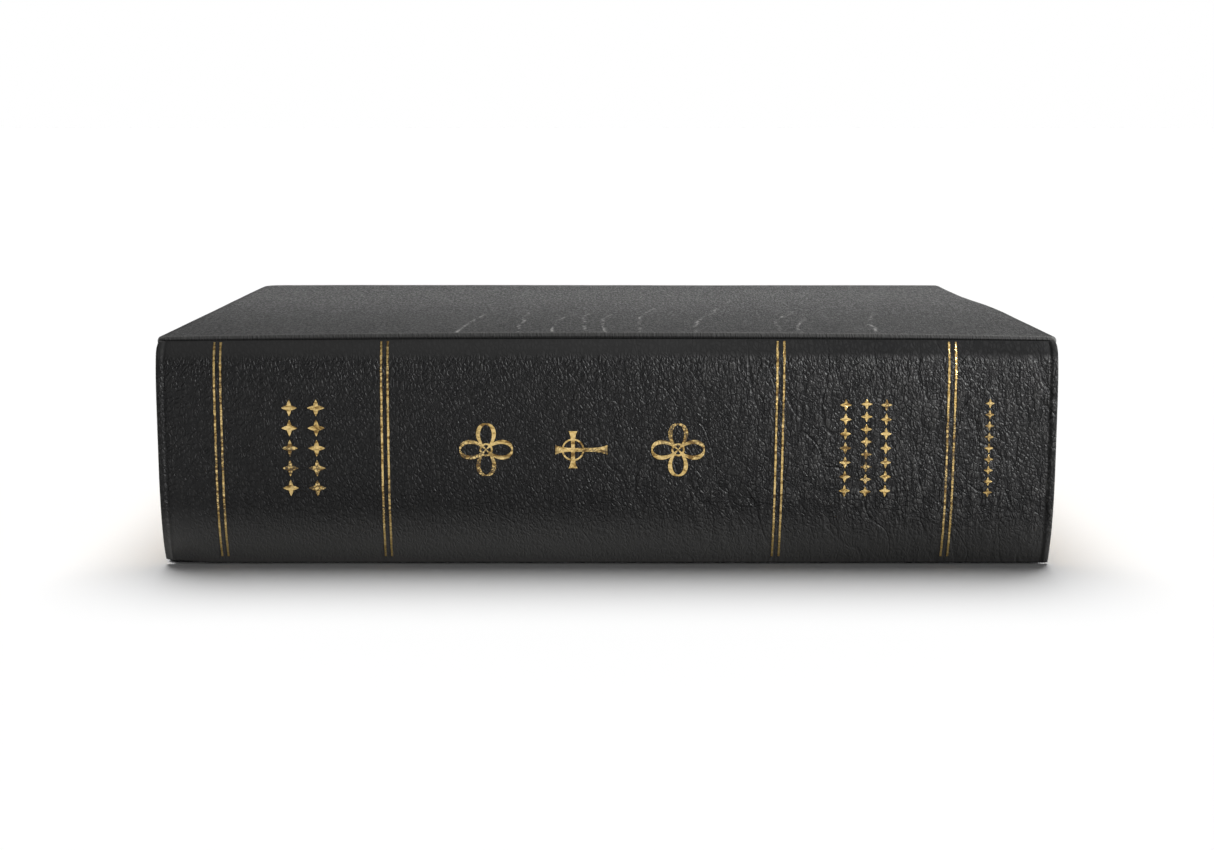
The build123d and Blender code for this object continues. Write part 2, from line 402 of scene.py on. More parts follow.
def back_joint(material):
    """Leather between the spine's foot and the back cover, flat on the table."""
    start_y = BACK_LOW.y + 1.2 * MM
    end_y = COVER_EDGE + SPINE_TUCK + 0.6 * MM
    path = [(start_y + (end_y - start_y) * k / JOINT_STEPS, 0.9 * MM) for k in range(JOINT_STEPS + 1)]
    piece = strip("back_joint_leather", path, X_END - JOINT_INSET, 0.6 * MM, material)
    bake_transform(piece)


def front_endpaper_fold(material):
    """The folded endpaper between the front flyleaf and the pastedown."""
    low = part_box("front_flyleaf")[1].z - 0.08 * MM
    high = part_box("front_pastedown")[0].z + 0.08 * MM
    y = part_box("front_pastedown")[0].y + 0.4 * MM
    reach = 1.2 * MM
    steps = 16
    path = []
    for k in range(steps + 1):
        turn = math.pi * k / steps
        path.append((y - reach * math.sin(turn), low + (high - low) * k / steps))
    piece = strip("front_endpaper_fold", path, X_END - 4.5 * MM, 0.1 * MM, material)
    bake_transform(piece)


# the text block

def page_grid(x_half, y_low, y_high):
    """A leaf's points: close together at the rounded corners and over the part next to the back."""
    x = spread((-x_half, 0.9 * MM), (-x_half + PAGE_CORNER, 7 * MM), (x_half - PAGE_CORNER, 0.9 * MM),
               (x_half, 1 * MM))
    y = spread((y_low, 1.2 * MM), (y_low + 38 * MM, 8 * MM), (y_high - PAGE_CORNER, 0.9 * MM),
               (y_high, 1 * MM))
    return sheet_grid(x, y, x_half, y_low, y_high, PAGE_CORNER)


def gathering_backs():
    """Y of the block's rounded back at each face between gatherings, read from the gatherings."""
    backs = [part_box(f"gathering_{i:02d}")[0].y for i in range(1, 17)]
    return backs[:8] + [backs[7]] + backs[8:]


def gathering(number, low_y, high_y, materials, kinds):
    """Leaves sewn together, folded at the back and gilt on the other three edges."""
    name = f"gathering_{number:02d}"
    low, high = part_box(name)
    flat_x, flat_y = page_grid(high.x, 0.0, high.y - low.y)
    uneven = 0.06 * MM * field(flat_x, flat_y, 30, 30, number * 3.3)
    share = smoothstep(20 * MM, 100 * MM, flat_y)
    top = level(flat_x, flat_y + high_y + uneven * share, high.z)
    bottom = level(flat_x, flat_y + low_y + uneven * share, low.z)
    grain = level(flat_x, flat_y, number * 0.01)
    fold = 0.5 * MM
    rounding = {"start": fold, "right": 0.0, "finish": 0.0, "left": 0.0}
    top[0, :, 1] += fold
    bottom[0, :, 1] += fold
    piece = slab(f"leaves_{number:02d}", top, bottom, grain, materials, rounding, 4, kinds)
    bend_pages(piece, number > 8)
    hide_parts(name)


def bend_pages(piece, upper):
    """Bakes the leaves' place into their points; both halves of the block are treated alike."""
    if upper:
        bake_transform(piece)
    else:
        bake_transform(piece)


def text_block(paper, gilt, printed):
    """All the gatherings. The two pages that face each other in the middle are printed."""
    faces = gathering_backs()
    for number in range(1, 17):
        kinds = [0, 0, 1]
        if number == 8:
            kinds = [2, 0, 1]
        if number == 9:
            kinds = [0, 2, 1]
        gathering(number, faces[number - 1], faces[number], [paper, gilt, printed], kinds)


def flyleaf(node, body, material):
    low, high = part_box(node)
    flat_x, flat_y = page_grid(high.x, low.y, high.y)
    top = level(flat_x, flat_y, high.z)
    bottom = level(flat_x, flat_y, low.z)
    piece = slab(f"{node}_sheet", top, bottom, top, [material])
    bend_pages(piece, body == "front_half")
    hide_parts(node)


def pastedown(node, body, material):
    """The endpaper glued to the board, with the turned-in leather showing as a low step under it."""
    low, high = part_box(node)
    x = spread((low.x, 1 * MM), (low.x + 16 * MM, 6 * MM), (high.x - 16 * MM, 1 * MM), (high.x, 1 * MM))
    y = spread((low.y, 1 * MM), (low.y + 16 * MM, 6 * MM), (high.y - 16 * MM, 1 * MM), (high.y, 1 * MM))
    flat_x, flat_y = sheet_grid(x, y, high.x, low.y, high.y, PAGE_CORNER)
    inset = np.minimum(np.minimum(high.x - np.abs(flat_x), flat_y - low.y), high.y - flat_y)
    step = 0.16 * MM * smoothstep(9.6 * MM, 11.4 * MM, inset)
    outer, inner = (high.z, low.z + step) if low.z > MIDDLE else (low.z, high.z - step)
    back = level(flat_x, flat_y, outer)
    front = np.stack([flat_x, flat_y, inner], -1)
    piece = slab(f"{node}_sheet", front, back, front, [material])
    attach(piece, body)
    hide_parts(node)


# trimmings

def worked_band(node, material):
    """A silk band worked in stripes over a core, along the back of the leaves."""
    low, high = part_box(node)
    side = 1 if low.x > 0 else -1
    radius = 0.85 * MM
    centre_x = (low.x + high.x) / 2
    count = 170
    ring = 10
    vertices = []
    grain = []
    for k in range(count + 1):
        z = low.z + (high.z - low.z) * k / count
        share = abs(z - MIDDLE) / (high.z - MIDDLE)
        y = low.y + radius + (high.y - low.y - 2 * radius) * share ** 3.2
        wrap = radius * (1 + 0.07 * math.sin(2 * math.pi * k / 3.4))
        for j in range(ring):
            turn = 2 * math.pi * j / ring
            vertices.append((centre_x + side * wrap * math.sin(turn), y + wrap * math.cos(turn), z))
            grain.append((turn * radius, z, 0))
    faces = []
    for k in range(count):
        for j in range(ring):
            a = k * ring + j
            b = k * ring + (j + 1) % ring
            faces.append((a, b, b + ring, a + ring))
    faces.append(tuple(range(ring)))
    faces.append(tuple(count * ring + j for j in reversed(range(ring))))
    piece = face_out(new_object(f"{node}_silk", vertices, faces, grain, [material]))
    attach(piece, "spine")
    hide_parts(node)


RIBBON_WIDTH = 6 * MM
RIBBON_THICK = 0.14 * MM
RIBBON_STEPS = 260


def ribbon_path(low, high):
    """Middle line of the marker, which lies on the lower half, turns over its edge and hangs down."""
    exit_x = high.x - RIBBON_WIDTH / 2
    head_x = low.x + 4 * MM
    head_y = low.y + 1 * MM
    lip_y = high.y - 6 * MM
    lie_z = high.z - 0.1 * MM
    fall = 1.4 * MM
    path = []
    for t in np.linspace(0, 1, RIBBON_STEPS):
        bow = 3 * MM * math.sin(math.pi * t)
        path.append((head_x + (exit_x - head_x) * t, head_y + (lip_y - head_y) * t + bow, lie_z))
    for t in np.linspace(0, 1, 12)[1:]:
        turn = math.pi / 2 * t
        reach = 1 * MM + 4.6 * MM * math.sin(turn)
        path.append((exit_x, lip_y + reach, lie_z - fall * (1 - math.cos(turn))))
    end_y = path[-1][1]
    hang = high.z - low.z - 2 * MM
    for t in np.linspace(0, 1, 24)[1:]:
        sway = 0.25 * MM * math.sin(6 * t)
        path.append((exit_x + sway, end_y + sway, lie_z - fall - hang * t))
    return np.array(path)


def ribbon(material):
    """The marker: flat between the leaves, over their edge, and down inside the fore-edge."""
    low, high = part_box("ribbon_marker")
    centre = ribbon_path(low, high)
    along = np.gradient(centre, axis=0)
    columns = 9
    front = np.zeros((len(centre), columns, 3))
    grain = np.zeros((len(centre), columns, 3))
    length = np.concatenate([[0], np.cumsum(np.linalg.norm(np.diff(centre, axis=0), axis=1))])
    for i, point in enumerate(centre):
        flat = np.array([along[i][0], along[i][1], 0.0])
        if i > RIBBON_STEPS:
            flat = np.array([0.0, 1.0, 0.0])
        flat /= np.linalg.norm(flat)
        across = np.array([flat[1], -flat[0], 0.0])
        for j in range(columns):
            offset = (j / (columns - 1) - 0.5) * RIBBON_WIDTH
            front[i, j] = point + across * offset
            grain[i, j] = (offset, length[i], 0)
            if i == len(centre) - 1:
                front[i, j, 2] += (RIBBON_WIDTH / 2 - abs(offset)) * 0.9
    normal = np.cross(np.gradient(front, axis=0), np.gradient(front, axis=1))
    normal /= np.maximum(np.linalg.norm(normal, axis=2), 1e-12)[:, :, None]
    half = normal * RIBBON_THICK / 2
    piece = slab("ribbon_strip", front + half, front - half, grain, [material])
    bend_pages(piece, False)
    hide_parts("ribbon_marker")


# gold tooling

RULE_CENTRES = (-105.1, -103.4, -60.4, -58.7, 45.7, 47.5, 91.6, 93.4)
RULE_LEANS = (0, 0, 0, 0, -0.7, -0.7, -0.5, -0.5)
EMBLEM_CENTRES = (-32.5, -6.9, 19.1)
EMBLEM_HEIGHT = TOP - 29.9 * MM
ROWS = ((-85.2, 4.2, 5), (-78.0, 4.6, 5), (64.0, 3.0, 7), (69.6, 3.0, 8), (74.9, 2.9, 7), (102.6, 2.4, 9))
ROW_HIGH = TOP - 15.8 * MM
ROW_LOW = TOP - 43.1 * MM


def stroke(points, widths, material, lift=0.07 * MM):
    """A line of foil of varying width, pressed on to the rounded leather."""
    line = np.array(points)
    along = np.gradient(line, axis=0)
    across = np.stack([along[:, 1], -along[:, 0]], -1)
    across /= np.maximum(np.linalg.norm(across, axis=1), 1e-9)[:, None]
    widths = np.broadcast_to(np.asarray(widths, float), (len(line),))
    shares = np.array([-0.5, 0.0, 0.5])
    flat = line[:, None, :] + across[:, None, :] * (widths[:, None] * shares[None, :])[:, :, None]
    x, z = flat[..., 0], flat[..., 1]
    y = spine_y(x, z)
    seen_z = z + spine_lift(x, z)
    front = np.stack([x, y - lift, seen_z], -1)
    back = np.stack([x, y + 0.1 * MM, seen_z], -1)
    grain = level(x, z, 0.0)
    return slab("stroke", front, back, grain, [material])


def foil_piece(name, strokes, node):
    piece = merge(name, strokes)
    ride_spine(piece)
    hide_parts(node)


def ride_spine(piece):
    """Bakes the piece's place into its points; the spine's leather and foil stay where they are made."""
    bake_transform(piece)


def gold_rules(material):
    """Double rules down the spine, whose edges are frayed by the grain of the leather."""
    z = np.arange(2.4 * MM, SPINE_TOP - 0.3 * MM, 0.25 * MM)
    lines = []
    for centre, lean in zip(RULE_CENTRES, RULE_LEANS):
        fray = field(z, np.full_like(z, centre), 900, 1, centre)
        worn = smoothstep(0.2, 0.6, (z - 4 * MM) / TOP)
        x = centre * MM + lean * MM * (1 - z / TOP) + 0.05 * MM * field(z, z, 500, 1, centre + 9)
        lines.append(stroke(np.stack([x, z], -1), (0.52 + 0.2 * fray * worn) * MM, material))
    foil_piece("gold_rule_lines", lines, "gold_rules")


def rosette(x, z, size):
    """A rose curve of four petals round a small ring."""
    turns = np.linspace(0, 2 * math.pi, 145)
    radius = size * np.abs(np.cos(2 * turns)) ** 0.75
    petals = np.stack([x + radius * np.cos(turns), z + radius * np.sin(turns)], -1)
    widths = (0.35 + 0.75 * np.abs(np.sin(4 * turns))) * MM
    ring = np.linspace(0, 2 * math.pi, 33)
    eye = np.stack([x + 0.22 * size * np.cos(ring), z + 0.22 * size * np.sin(ring)], -1)
    return [(petals, widths), (eye, 0.5 * MM)]


def flared(start, finish, middle, ends):
    """A straight bar that widens towards both ends."""
    t = np.linspace(-1, 1, 41)[:, None]
    start, finish = np.array(start), np.array(finish)
    line = (start + finish) / 2 + (finish - start) / 2 * t
    return line, middle + (ends - middle) * np.abs(t[:, 0]) ** 4


def cross(x, z, size):
    """A Latin cross, upright when the book stands on its tail."""
    upright = flared((x - size, z), (x + size, z), 1.0 * MM, 2.6 * MM)
    arm_x = x - size * 0.32
    arm = flared((arm_x, z - size * 0.72), (arm_x, z + size * 0.72), 1.0 * MM, 2.4 * MM)
    ring = np.linspace(0, 2 * math.pi, 49)
    halo = np.stack([arm_x + 0.4 * size * np.cos(ring), z + 0.4 * size * np.sin(ring)], -1)
    return [upright, arm, (halo, 0.45 * MM)]


def star(x, z, width, height):
    """Two crossed leaves."""
    t = np.linspace(-1, 1, 17)
    leaf = 1 - t * t
    lying = np.stack([x + t * width / 2, np.full_like(t, z)], -1)
    standing = np.stack([np.full_like(t, x), z + t * height / 2], -1)
    return [(lying, 0.03 * MM + leaf * height * 0.3), (standing, 0.03 * MM + leaf * width * 0.3)]


def gold_ornaments(material):
    left, middle, right = (centre * MM for centre in EMBLEM_CENTRES)
    shapes = rosette(left, EMBLEM_HEIGHT, 7 * MM)
    shapes += cross(middle, EMBLEM_HEIGHT, 7 * MM)
    shapes += rosette(right, EMBLEM_HEIGHT, 7 * MM)
    for centre, width, count in ROWS:
        pitch = (ROW_HIGH - ROW_LOW) / count
        for k in range(count):
            shapes += star(centre * MM, ROW_LOW + pitch * (k + 0.5), width * MM, pitch * 0.82)
    strokes = []
    for k, (line, widths) in enumerate(shapes):
        lift = (0.07 + 0.012 * (k % 3)) * MM
        strokes.append(stroke(line, widths, material, lift))
    foil_piece("gold_ornament_stamps", strokes, "gold_ornaments")


# materials

class Graph:
    """Short calls for making and joining the nodes of one material."""

    def __init__(self, name):
        self.material = bpy.data.materials.new(name)
        self.material.use_nodes = True
        self.tree = self.material.node_tree
        self.shader = self.tree.nodes["Principled BSDF"]

    def make(self, kind, inputs=None, **settings):
        node = self.tree.nodes.new(kind)
        for key, value in settings.items():
            setattr(node, key, value)
        for key, value in (inputs or {}).items():
            self.put(node.inputs[key], value)
        return node

    def put(self, target, value):
        if isinstance(value, bpy.types.NodeSocket):
            self.tree.links.new(value, target)
        else:
            target.default_value = value

    def set(self, **inputs):
        """Sets or joins the shader's own sockets."""
        for key, value in inputs.items():
            self.put(self.shader.inputs[key.replace("_", " ")], value)

    def grain(self, scale=(1, 1, 1)):
        """The point's place on the flat material, which stays with it when the piece bends."""
        place = self.make("ShaderNodeAttribute", attribute_name="grain")
        stretch = self.make("ShaderNodeMapping", {"Vector": place.outputs["Vector"], "Scale": scale})
        return stretch.outputs["Vector"]

    def position(self, scale=(1, 1, 1)):
        place = self.make("ShaderNodeTexCoord")
        stretch = self.make("ShaderNodeMapping", {"Vector": place.outputs["Object"], "Scale": scale})
        return stretch.outputs["Vector"]

    def parts(self, vector):
        """The vector's X, Y and Z."""
        return self.make("ShaderNodeSeparateXYZ", {0: vector}).outputs

    def noise(self, vector, scale, detail=2.0, roughness=0.5, distortion=0.0):
        node = self.make("ShaderNodeTexNoise", {"Vector": vector, "Scale": scale, "Detail": detail,
                                                "Roughness": roughness, "Distortion": distortion})
        return node.outputs["Fac"]

    def cells(self, vector, scale):
        """Distance to the nearest border between cells."""
        node = self.make("ShaderNodeTexVoronoi", {"Vector": vector, "Scale": scale},
                         feature="DISTANCE_TO_EDGE")
        return node.outputs["Distance"]

    def math(self, operation, a, b=0.5):
        node = self.make("ShaderNodeMath", operation=operation)
        self.put(node.inputs[0], a)
        self.put(node.inputs[1], b)
        return node.outputs[0]

    def times(self, a, b):
        return self.math("MULTIPLY", a, b)

    def plus(self, a, b):
        return self.math("ADD", a, b)

    def minus(self, a, b):
        return self.math("SUBTRACT", a, b)

    def max(self, a, b):
        return self.math("MAXIMUM", a, b)

    def abs(self, a):
        return self.math("ABSOLUTE", a)

    def ramp(self, value, low, high, start=0.0, end=1.0):
        """From start, at low and below, smoothly to end, at high and above."""
        inputs = {"Value": value, "From Min": low, "From Max": high, "To Min": start, "To Max": end}
        node = self.make("ShaderNodeMapRange", inputs, interpolation_type="SMOOTHSTEP")
        return node.outputs["Result"]

    def mix(self, share, a, b):
        node = self.make("ShaderNodeMix", data_type="RGBA")
        self.put(node.inputs["Factor"], share)
        self.put(node.inputs["A"], a)
        self.put(node.inputs["B"], b)
        return node.outputs["Result"]

    def warped(self, vector, scale, amount):
        """The place moved about by noise, so that cells and lines aren't regular."""
        cloud = self.make("ShaderNodeTexNoise", {"Vector": vector, "Scale": scale, "Detail": 2.0})
        centred = self.make("ShaderNodeVectorMath", {0: cloud.outputs["Color"], 1: (0.5, 0.5, 0.5)},
                            operation="SUBTRACT")
        grown = self.make("ShaderNodeVectorMath", {0: centred.outputs[0], "Scale": amount},
                          operation="SCALE")
        moved = self.make("ShaderNodeVectorMath", {0: vector, 1: grown.outputs[0]}, operation="ADD")
        return moved.outputs[0]

    def bump(self, height, strength, distance):
        inputs = {"Height": height, "Strength": strength, "Distance": distance}
        return self.make("ShaderNodeBump", inputs).outputs["Normal"]


BLACK_LEATHER = (0.0032, 0.0032, 0.0034, 1)
# painted highlight for the peaks of the spine's grain
PEAK_HIGHLIGHT_GREY = (0.028, 0.0276, 0.027, 1)
# painted light for the spine's smooth foot and the band under the cover
PAINTED_LIGHT_GREY = (0.052, 0.0514, 0.0502, 1)
# grain tone of the covers, which also carries a painted sheen
COVER_GRAIN_AND_SHEEN = (0.060, 0.0595, 0.058, 1)
# pale veins of the grain, and the painted highlight along the cover's edge over the spine
VEIN_AND_RIM_HIGHLIGHT = (0.17, 0.168, 0.162, 1)

# pebbles of the grain per metre
SPINE_PEBBLES = 930.0
COVER_PEBBLES = 1150.0
FOIL_PEBBLES = 1100.0


def pebbled(g, pebble):
    """Rounded pebbles with narrow valleys, and the height of the grain that they make."""
    place = g.warped(g.grain((1.0, 0.72, 1.0)), 300.0, 1.6 * MM)
    pebbles = g.ramp(g.cells(place, pebble), 0.0, 0.3)
    small = g.ramp(g.cells(g.warped(g.grain(), 500.0, 0.8 * MM), pebble * 2.1), 0.0, 0.4)
    fine = g.noise(g.grain(), 2600.0, 3.0, 0.6)
    height = g.plus(g.times(pebbles, 0.55), g.times(small, 0.25))
    return pebbles, g.plus(height, g.times(fine, 0.2))


def spine_leather():
    """Black leather, pebbled all over, with long upright folds towards the tail of the book.
    It is smooth at the foot and just under the cover. The grain's peaks carry a painted
    highlight, strongest towards the tail, and painted light makes the smooth foot and,
    towards the head, the smooth band under the cover lighter."""
    g = Graph("spine_leather")
    split = g.parts(g.grain())
    along, up = split["X"], split["Y"]
    pebbles, height = pebbled(g, SPINE_PEBBLES)
    folds = g.noise(g.warped(g.grain((1.0, 0.3, 1.0)), 150.0, 4 * MM), 560.0, 3.0, 0.6)
    folds = g.ramp(folds, 0.38, 0.62)
    patches = g.ramp(g.noise(g.grain(), 42.0, 2.0), 0.34, 0.62, 0.45, 1.0)
    tail = g.times(g.ramp(along, -0.05, 0.1, 0.1, 1.0), patches)
    height = g.plus(height, g.times(folds, g.times(tail, 0.9)))
    lines = g.noise(g.warped(g.grain((0.8, 0.45, 1.0)), 90.0, 7 * MM), 55.0, 2.0)
    creases = g.ramp(g.abs(g.minus(lines, 0.5)), 0.002, 0.011, 1.0, 0.0)
    creases = g.times(creases, g.ramp(along, -0.06, 0.06, 0.15, 0.8))
    height = g.minus(height, g.times(creases, 0.8))
    under_cover = g.ramp(up, TOP - 6.5 * MM, TOP - 3.8 * MM)
    foot = g.ramp(up, 1.5 * MM, 19 * MM, 1.0, 0.0)
    grained = g.times(g.minus(1.0, foot), g.minus(1.0, under_cover))
    height = g.times(height, g.ramp(grained, 0.0, 1.0, 0.2, 1.0))
    # Painted highlight: the grain's peaks are painted lighter, most towards the tail, where the side lamp
    # falls.
    peak = g.plus(g.times(folds, 0.5), g.times(pebbles, 0.5))
    painted_peak_highlight = g.times(g.ramp(peak, 0.35, 0.95), g.ramp(tail, 0.0, 1.0, 0.2, 1.0))
    colour = g.mix(g.times(painted_peak_highlight, grained), BLACK_LEATHER, PEAK_HIGHLIGHT_GREY)
    # Painted light: the smooth foot is painted lighter as a painted reflection of the bright floor, and
    # the smooth band under the cover, towards the head, as painted fill light; less of both towards the
    # tail.
    head = g.ramp(along, -0.02, 0.1, 1.0, 0.5)
    painted_light_share = g.max(foot, g.times(under_cover, g.ramp(along, 0.0, 0.09, 0.17, 0.0)))
    colour = g.mix(g.times(painted_light_share, head), colour, PAINTED_LIGHT_GREY)
    slow = g.noise(g.grain(), 45.0, 3.0)
    rough = g.plus(g.ramp(slow, 0.3, 0.7, 0.36, 0.44), g.times(under_cover, 0.4))
    rough = g.plus(rough, g.times(g.minus(1.0, pebbles), 0.14))
    g.set(Base_Color=colour, Roughness=rough, Specular_IOR_Level=0.24,
          Normal=g.bump(height, 1.0, 0.26 * MM))
    return g.material


def cover_leather():
    """The same leather on the covers: finer, drawn out across the boards, and crossed by pale veins.
    Its grey carries a painted sheen, lighter towards the fore-edge and the tail, and a painted
    highlight runs along the edge over the spine.
    """
    g = Graph("cover_leather")
    split = g.parts(g.grain())
    across = split["Y"]
    far = COVER_EDGE + 130 * MM
    from_side = g.minus(X_END, g.abs(split["X"]))
    from_edge = g.math("MINIMUM", from_side, g.minus(FORE_EDGE, across))
    from_edge = g.math("MINIMUM", from_edge, g.minus(across, COVER_EDGE))
    pebbles, height = pebbled(g, COVER_PEBBLES)
    drawn = g.noise(g.warped(g.grain((1.0, 0.27, 1.0)), 200.0, 2 * MM), 1300.0, 3.0, 0.65)
    drawn = g.times(g.ramp(drawn, 0.42, 0.60), g.ramp(from_edge, 1.5 * MM, 3.0 * MM))
    wrinkles = g.noise(g.warped(g.grain((0.7, 0.3, 1.0)), 60.0, 10 * MM), 240.0, 3.0, 0.6)
    wrinkles = g.ramp(wrinkles, 0.40, 0.66)
    grey = g.plus(g.times(drawn, 0.34), g.times(wrinkles, 0.2))
    grey = g.plus(grey, 0.22)
    # Painted sheen: the grey is painted lighter away from the spine edge, towards the fore-edge, and
    # darker towards the head, away from the side lamp.
    grey = g.times(grey, g.ramp(across, COVER_EDGE, far, 0.56, 0.97))
    grey = g.times(grey, g.ramp(split["X"], -0.12, 0.02, 0.8, 1.0))
    # The rounded edges are made a little lighter.
    grey = g.max(grey, g.ramp(from_edge, 0.6 * MM, 1.4 * MM, 0.3, 0.0))
    colour = g.mix(grey, BLACK_LEATHER, COVER_GRAIN_AND_SHEEN)
    # Painted highlight: a pale line along the cover's edge over the spine, just before it rounds over,
    # where the edge catches the light.
    from_rim = g.abs(g.minus(across, COVER_EDGE + 1.5 * MM))
    rim = g.ramp(from_rim, 0.1 * MM, 0.8 * MM, 0.3, 0.0)
    colour = g.mix(g.max(rim, vein_lines(g)), colour, VEIN_AND_RIM_HIGHLIGHT)
    rough = g.ramp(across, COVER_EDGE + 2 * MM, far, 0.66, 0.36)
    rough = g.plus(rough, g.times(g.minus(1.0, pebbles), 0.12))
    rough = g.plus(rough, g.times(g.minus(1.0, drawn), 0.2))
    height = g.plus(height, g.times(drawn, 0.8))
    g.set(Base_Color=colour, Roughness=rough, Specular_IOR_Level=0.24,
          Normal=g.bump(height, 1.0, 0.24 * MM))
    return g.material


# Pale veins that run from the cover's spine edge: where each starts along the spine, how far it
# runs straight, how far it leans towards the tail and how deep it ends, in millimetres.
VEINS = ((-40, 10, 6, 90), (-24, 60, 1, 85), (-15, 30, 9, 70), (-6.5, 45, 4, 95), (-1, 40, 8, 90),
         (9, 38, 13, 120), (24, 10, 20, 135), (47, 20, 14, 95), (52, 10, 9, 60), (74, 20, 9, 80))


def vein_lines(g):
    """Thin, wavering, broken lines that run from the spine edge towards the fore-edge."""
    split = g.parts(g.grain())
    x = split["X"]
    depth = g.minus(split["Y"], COVER_EDGE)
    strength = g.ramp(g.noise(g.grain((1.0, 0.35, 1.0)), 210.0, 4.0, 0.7), 0.42, 0.66, 0.0, 0.9)
    veins = 0.0
    for k, (start, straight, lean, end) in enumerate(VEINS):
        place = g.make("ShaderNodeCombineXYZ", {0: 0.31 * k, 1: depth})
        waver = g.minus(g.noise(place.outputs[0], 62.0, 6.0, 0.72), 0.5)
        leaning = g.ramp(depth, straight * MM, (end + 10) * MM, 0.0, lean * MM)
        centre = g.plus(g.times(waver, 7 * MM), g.plus(leaning, start * MM))
        apart = g.abs(g.minus(x, centre))
        line = g.times(g.ramp(apart, 0.16 * MM, 0.6 * MM, 1.0, 0.0), strength)
        line = g.times(line, g.ramp(depth, end * 0.5 * MM, end * MM, 1.0, 0.0))
        veins = g.max(veins, line)
    return g.times(veins, g.ramp(depth, 1 * MM, 3 * MM))


def gold_foil():
    """Stamped foil: satin gold with dark streaks, broken where the leather's grain shows."""
    g = Graph("stamped_gold")
    place = g.warped(g.grain(), 300.0, 1.6 * MM)
    pebbles = g.ramp(g.cells(place, FOIL_PEBBLES), 0.0, 0.2)
    streaks = g.noise(g.warped(g.grain((0.35, 1.0, 1.0)), 120.0, 3 * MM), 1100.0, 2.0, 0.55, 0.3)
    patches = g.noise(g.grain(), 60.0, 2.0)
    dark = g.ramp(g.plus(streaks, g.times(patches, 0.3)), 0.62, 0.78)
    up = g.parts(g.grain())["Y"]
    worn = g.ramp(up, 8 * MM, 18 * MM)
    dark = g.times(dark, worn)
    broken = g.times(g.minus(1.0, pebbles), g.ramp(patches, 0.4, 0.6))
    broken = g.times(broken, worn)
    colour = g.mix(g.ramp(streaks, 0.3, 0.6), (0.76, 0.56, 0.25, 1), (0.58, 0.40, 0.14, 1))
    colour = g.mix(dark, colour, (0.20, 0.12, 0.04, 1))
    colour = g.mix(broken, colour, (0.035, 0.022, 0.01, 1))
    height = g.plus(pebbles, g.times(streaks, 2.0))
    g.set(Base_Color=colour, Roughness=g.ramp(dark, 0, 1, 0.34, 0.5),
          Metallic=g.ramp(broken, 0, 1, 0.9, 0.2), Normal=g.bump(height, 0.8, 0.06 * MM))
    return g.material


def paper(name, tint):
    """Thin printing paper or endpaper with faint fibres."""
    g = Graph(name)
    clouds = g.noise(g.grain(), 140.0, 4.0, 0.6)
    fibres = g.noise(g.grain((1.0, 0.25, 1.0)), 1800.0, 2.0)
    dark = tuple(c * 0.92 for c in tint)
    colour = g.mix(clouds, (*dark, 1), (*tint, 1))
    g.set(Base_Color=colour, Roughness=g.ramp(fibres, 0.3, 0.7, 0.75, 0.9), Specular_IOR_Level=0.2,
          Normal=g.bump(fibres, 0.35, 0.04 * MM))
    return g.material


LINES_PER_METRE = 330.0
PRINT_HALF_LENGTH = 104.5 * MM
PRINT_COLUMNS = ((24 * MM, 86 * MM), (90 * MM, 150.5 * MM))


def printed_paper(tint):
    """A page of grey bars set in two columns, which stand for lines of type."""
    g = Graph("printed_leaf")
    split = g.parts(g.grain())
    along, across = split["X"], split["Y"]
    line = g.times(along, LINES_PER_METRE)
    from_middle = g.abs(g.minus(g.math("FRACT", line), 0.5))
    rows = g.ramp(from_middle, 0.2, 0.26, 1.0, 0.0)
    across_line = g.times(across, LINES_PER_METRE)
    place = g.make("ShaderNodeCombineXYZ", {0: g.math("FLOOR", line), 1: across_line})
    words = g.ramp(g.noise(place.outputs[0], 1.7, 0.0), 0.36, 0.40)
    columns = 0.0
    for low, high in PRINT_COLUMNS:
        begins = g.ramp(across, low, low + 0.3 * MM)
        ends = g.ramp(across, high, high + 0.3 * MM, 1.0, 0.0)
        columns = g.max(columns, g.times(begins, ends))
    from_centre = g.abs(along)
    inside = g.ramp(from_centre, PRINT_HALF_LENGTH, PRINT_HALF_LENGTH + 0.2 * MM, 1.0, 0.0)
    shown = g.times(inside, columns)
    ink = g.times(g.times(rows, words), g.times(shown, 0.75))
    clouds = g.noise(g.grain(), 140.0, 4.0, 0.6)
    page = g.mix(clouds, (*(c * 0.93 for c in tint), 1), (*tint, 1))
    g.set(Base_Color=g.mix(ink, page, (0.06, 0.055, 0.05, 1)), Specular_IOR_Level=0.2,
          Roughness=g.ramp(clouds, 0.3, 0.7, 0.7, 0.85), Normal=g.bump(clouds, 0.3, 0.05 * MM))
    return g.material


def gilt_edges():
    """Gold leaf burnished on to the edges of the leaves, which show as hair lines."""
    g = Graph("gilt_edges")
    leaves = g.noise(g.position((0.004, 0.004, 1.0)), 5000.0, 3.0, 0.7)
    bands = g.noise(g.position((0.012, 0.012, 1.0)), 1500.0, 2.0)
    slow = g.noise(g.position(), 30.0, 3.0)
    share = g.plus(g.times(leaves, 0.6), g.times(bands, 0.4))
    colour = g.mix(g.ramp(share, 0.40, 0.60), (0.42, 0.26, 0.08, 1), (0.70, 0.47, 0.18, 1))
    colour = g.mix(g.ramp(slow, 0.35, 0.7, 0.0, 0.5), colour, (0.64, 0.42, 0.15, 1))
    g.set(Base_Color=colour, Roughness=g.ramp(share, 0.3, 0.7, 0.42, 0.28), Metallic=0.9,
          Normal=g.bump(share, 0.5, 0.05 * MM))
    return g.material


def plain(g, pattern, dark, light, roughness, strength, depth):
    """Finishes a material whose tint and relief both follow one pattern."""
    g.set(Base_Color=g.mix(pattern, (*dark, 1), (*light, 1)), Roughness=roughness,
          Normal=g.bump(pattern, strength, depth))
    return g.material


